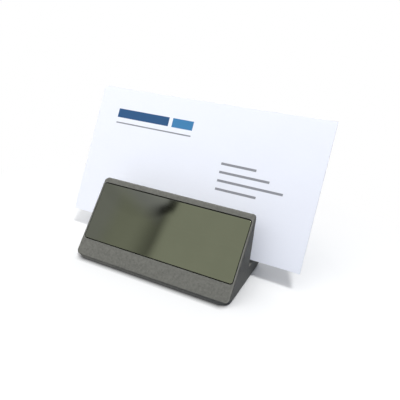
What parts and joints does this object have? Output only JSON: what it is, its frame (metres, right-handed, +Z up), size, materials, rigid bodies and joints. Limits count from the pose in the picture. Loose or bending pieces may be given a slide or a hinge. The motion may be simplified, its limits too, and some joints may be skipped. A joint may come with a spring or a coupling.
{
  "type": "phone and card holder",
  "caption": "Desk holder: a metal wedge with a polished plate on its slope and an open slot behind it for a leaning phone or card.",
  "frame": {"origin": "centre of the base pad's underside, on the table", "axes": "+Z up, +X along the holder's width to the viewer's right, +Y from the sloping front to the back"},
  "size_m": [0.09, 0.0393, 0.0534],
  "materials": {
    "cast_gunmetal": "satin, fine sandy texture",
    "polished_black_nickel": "mirror polished, dark olive",
    "tape": "matte",
    "liner_foam": "matte",
    "steel_plate": "rolled",
    "zinc_plated_steel": "zinc plated",
    "pad_rubber": "matte",
    "card_stock": "smooth uncoated"
  },
  "bodies": {
    "holder": {"body_casting": "cast_gunmetal", "face_plate": "polished_black_nickel", "face_plate_adhesive": "tape", "slot_floor_liner": "liner_foam", "slot_rear_liner": "liner_foam", "base_plate": "steel_plate", "base_screw_1": "zinc_plated_steel", "base_screw_2": "zinc_plated_steel", "base_screw_3": "zinc_plated_steel", "base_screw_4": "zinc_plated_steel", "base_pad": "pad_rubber"},
    "card": {"business_card": "card_stock"}
  },
  "joints": [
    {"name": "card_lift", "type": "slide", "parent": "holder", "child": "card", "axis": [0, 0.3792, 0.9253], "range_m": [0, 0.022]}
  ]
}
